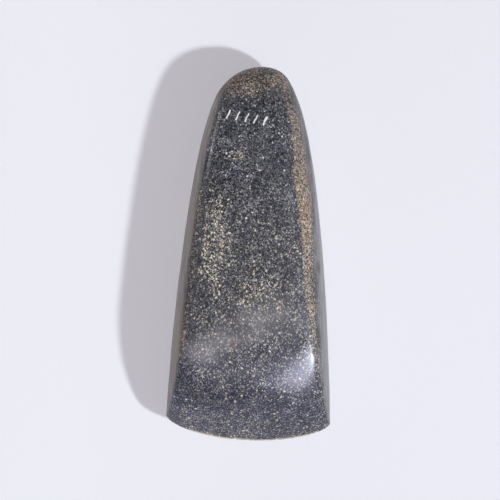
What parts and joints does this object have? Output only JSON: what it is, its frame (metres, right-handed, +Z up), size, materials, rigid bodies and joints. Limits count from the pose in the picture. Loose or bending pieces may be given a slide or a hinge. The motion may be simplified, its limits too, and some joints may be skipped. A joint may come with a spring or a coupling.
{
  "type": "stone adze head",
  "caption": "Polished stone adze head with a broad curved cutting edge, a bevelled back face and rounded sides tapering to a blunt poll.",
  "frame": {"origin": "centre of the bounding box, on the table under the curved front face", "axes": "+Y from the cutting edge towards the poll, +Z up out of the bevelled back face, +X to the right seen from above with the poll away"},
  "size_m": [0.0572, 0.13, 0.0273],
  "materials": {
    "stone": "polished"
  },
  "bodies": {
    "root": {"adze_head": "stone"}
  },
  "joints": []
}
